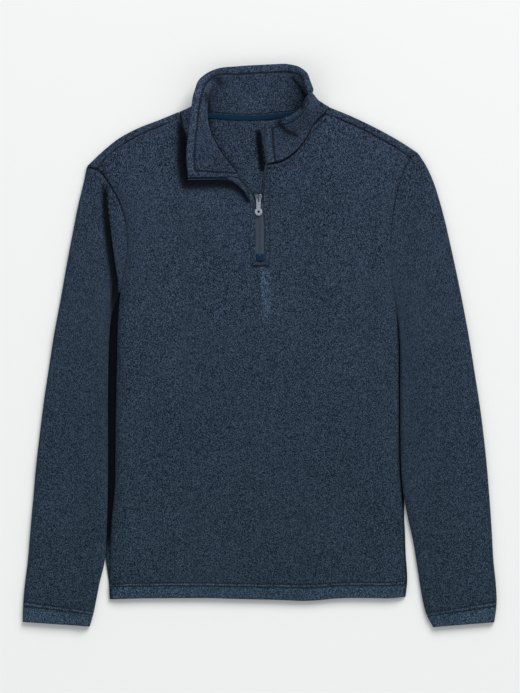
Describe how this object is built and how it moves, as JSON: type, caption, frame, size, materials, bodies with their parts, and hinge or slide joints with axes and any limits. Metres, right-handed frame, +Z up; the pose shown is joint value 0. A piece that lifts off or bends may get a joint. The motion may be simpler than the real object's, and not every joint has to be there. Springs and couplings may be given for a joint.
{
  "type": "quarter zip sweater",
  "caption": "Long-sleeved knitted fleece sweater laid flat on its back, with a stand-up collar open at a short neck zip and folded over on one side.",
  "frame": {"origin": "middle of the outline, on the surface the garment lies on", "axes": "+X to the wearer's left, +Y towards the collar, +Z up from the surface, out of the front of the garment"},
  "size_m": [0.7012, 0.8324, 0.0459],
  "materials": {
    "knit": "matte brushed marl knit",
    "neck_tape": "woven twill tape",
    "zip_tape": "woven tape and nylon coil",
    "zip_metal": "satin"
  },
  "bodies": {
    "sweater": {"front_panel": "knit", "back_panel": "knit", "sleeve_right": "knit", "sleeve_left": "knit", "collar": "knit", "neck_tape": "neck_tape", "zip_tape_right": "zip_tape", "zip_tape_right_lapel": "zip_tape", "zip_tape_left": "zip_tape", "zip_end_tab": "neck_tape", "zip_slider": "zip_metal"},
    "pull": {"zip_pull": "zip_metal"}
  },
  "joints": [
    {"name": "pull_tab_hinge", "type": "hinge", "parent": "sweater", "child": "pull", "pos_m": [-0.0012, 0.2174, 0.00905], "axis": [-1, 0, 0], "range_deg": [0, 150]}
  ]
}
